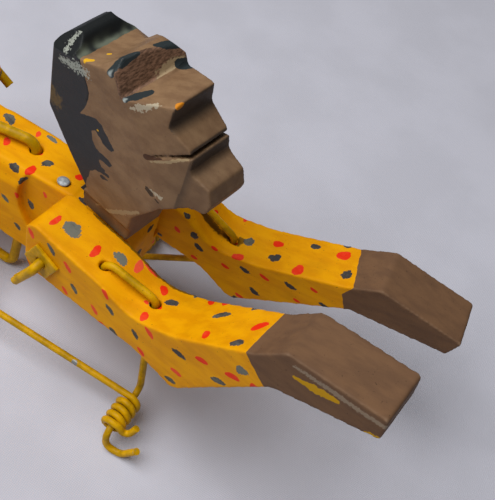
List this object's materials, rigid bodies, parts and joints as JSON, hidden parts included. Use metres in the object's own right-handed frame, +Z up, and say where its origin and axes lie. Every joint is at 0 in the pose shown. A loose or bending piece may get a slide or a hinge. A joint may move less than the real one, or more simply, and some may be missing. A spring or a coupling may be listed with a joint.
{
  "type": "crawling figure automaton",
  "caption": "Carved and painted wooden crawling man whose arms and legs swing on wire axles, joined on each side by a wire rod with coiled eyes.",
  "frame": {"origin": "centre of the footprint at the table surface", "axes": "+X the way the figure crawls, +Y its left side, +Z up"},
  "size_m": [0.3192, 0.1055, 0.1508],
  "materials": {
    "painted_wood": "worn satin oil paint, mustard yellow with red and dark dabs",
    "skin_paint": "worn matte brown paint over carved wood",
    "painted_wire": "steel wire brushed over with the yellow paint",
    "plate": "thin steel plate, painted yellow",
    "nail": "bare grey steel",
    "raw_wood": "bare wood"
  },
  "bodies": {
    "core": {"torso": "painted_wood", "head": "skin_paint", "neck_dowel": "raw_wood", "neck_nail": "nail", "back_wire": "painted_wire", "shoulder_axle": "painted_wire", "hip_axle": "painted_wire"},
    "right_arm_group": {"right_arm": "painted_wood", "right_arm_wire": "painted_wire", "right_shoulder_plate": "plate"},
    "right_leg_group": {"right_leg": "painted_wood", "right_leg_wire": "painted_wire", "right_hip_plate": "plate"},
    "right_rod_group": {"right_rod": "painted_wire"},
    "left_arm_group": {"left_arm": "painted_wood", "left_arm_wire": "painted_wire", "left_shoulder_plate": "plate"},
    "left_leg_group": {"left_leg": "painted_wood", "left_leg_wire": "painted_wire", "left_hip_plate": "plate"},
    "left_rod_group": {"left_rod": "painted_wire"}
  },
  "joints": [
    {"name": "right_hip", "type": "hinge", "parent": "core", "child": "right_leg_group", "pos_m": [-0.06321, 0, 0.063], "axis": [0, 1, 0], "range_deg": [-12, 30]},
    {"name": "right_shoulder", "type": "hinge", "parent": "core", "child": "right_arm_group", "pos_m": [0.01679, 0, 0.063], "axis": [0, 1, 0], "range_deg": [-12, 30]},
    {"name": "right_rod_eye", "type": "hinge", "parent": "right_arm_group", "child": "right_rod_group", "pos_m": [0.06319, 0, 0.0114], "axis": [0, 1, 0], "range_deg": [-30, 12]},
    {"name": "left_hip", "type": "hinge", "parent": "core", "child": "left_leg_group", "pos_m": [-0.06321, 0, 0.063], "axis": [0, 1, 0], "range_deg": [-33, 9]},
    {"name": "left_shoulder", "type": "hinge", "parent": "core", "child": "left_arm_group", "pos_m": [0.01679, 0, 0.063], "axis": [0, 1, 0], "range_deg": [-33, 9]},
    {"name": "left_rod_eye", "type": "hinge", "parent": "left_arm_group", "child": "left_rod_group", "pos_m": [0.02339, 0, 0.0058], "axis": [0, 1, 0], "range_deg": [-9, 33]}
  ],
  "couplings": [
    {"joint": "right_shoulder", "follows": "right_hip", "ratio": 1},
    {"joint": "right_rod_eye", "follows": "right_hip", "ratio": -1},
    {"joint": "left_shoulder", "follows": "left_hip", "ratio": 1},
    {"joint": "left_rod_eye", "follows": "left_hip", "ratio": -1}
  ]
}
